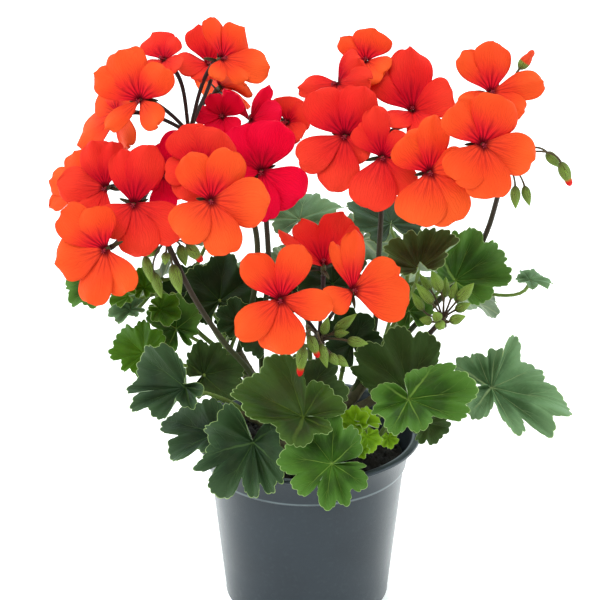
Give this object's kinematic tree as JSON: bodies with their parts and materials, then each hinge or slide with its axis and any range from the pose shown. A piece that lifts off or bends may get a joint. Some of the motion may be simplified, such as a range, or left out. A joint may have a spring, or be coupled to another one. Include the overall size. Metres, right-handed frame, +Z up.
{
  "type": "potted geranium",
  "caption": "Flowering geranium with round lobed leaves and orange and red flower heads, in a tapered plastic nursery pot.",
  "frame": {"origin": "the middle of the pot's flat foot, on the surface that the pot stands on", "axes": "+Z up along the pot's axis, -Y towards the plant's show side with most flowers, +X to the right seen from there"},
  "size_m": [0.2686, 0.1882, 0.3234],
  "materials": {
    "pot_plastic": "satin",
    "potting_soil": "matte",
    "woody_stem": "matte",
    "green_leaf": "satin",
    "young_leaf": "satin",
    "flower_stalk": "matte",
    "orange_petal": "satin",
    "red_petal": "satin",
    "magenta_petal": "satin"
  },
  "bodies": {
    "root": {"pot": "pot_plastic", "soil": "potting_soil", "stem": "woody_stem", "leaf_left_wide": "green_leaf", "leaf_left_inner": "green_leaf", "leaf_left_light": "green_leaf", "leaf_left_upper": "green_leaf", "leaf_centre_wide": "green_leaf", "leaf_rim_front": "green_leaf", "leaf_rim_left": "green_leaf", "leaf_low_left": "green_leaf", "leaf_centre_dark": "green_leaf", "leaf_right_wide": "green_leaf", "leaf_right_dark": "green_leaf", "leaf_right_far": "green_leaf", "leaf_bronze": "green_leaf", "leaf_right_green": "green_leaf", "leaf_right_small": "green_leaf", "shoot_shade_left": "green_leaf", "shoot_shade_middle": "green_leaf", "shoot_back_left": "green_leaf", "shoot_back": "green_leaf", "shoot_back_right": "green_leaf", "shoot_left_young": "young_leaf", "shoot_front_lime": "young_leaf", "stalk_left": "flower_stalk", "stalk_back": "flower_stalk", "stalk_right_inner": "flower_stalk", "stalk_right_outer": "flower_stalk", "stalk_low": "flower_stalk", "stalk_green_buds": "flower_stalk", "stalk_hanging_buds": "flower_stalk", "flower_left_a": "orange_petal", "flower_left_d": "orange_petal", "flower_left_g": "orange_petal", "flower_left_h": "orange_petal", "flower_left_i": "orange_petal", "flower_left_k": "orange_petal", "flower_left_l": "orange_petal", "flower_right_c": "orange_petal", "flower_right_d": "orange_petal", "flower_right_e": "orange_petal", "flower_right_g": "orange_petal", "flower_low_a": "orange_petal", "flower_low_b": "orange_petal", "flower_left_b": "red_petal", "flower_left_c": "red_petal", "flower_left_e": "red_petal", "flower_left_f": "red_petal", "flower_back_c": "red_petal", "flower_right_a": "red_petal", "flower_right_b": "red_petal", "flower_right_f": "red_petal", "flower_right_h": "red_petal", "flower_low_c": "red_petal", "flower_left_j": "magenta_petal", "flower_back_a": "magenta_petal", "flower_back_b": "magenta_petal", "flower_left_m": "red_petal", "flower_back_d": "magenta_petal"}
  },
  "joints": []
}
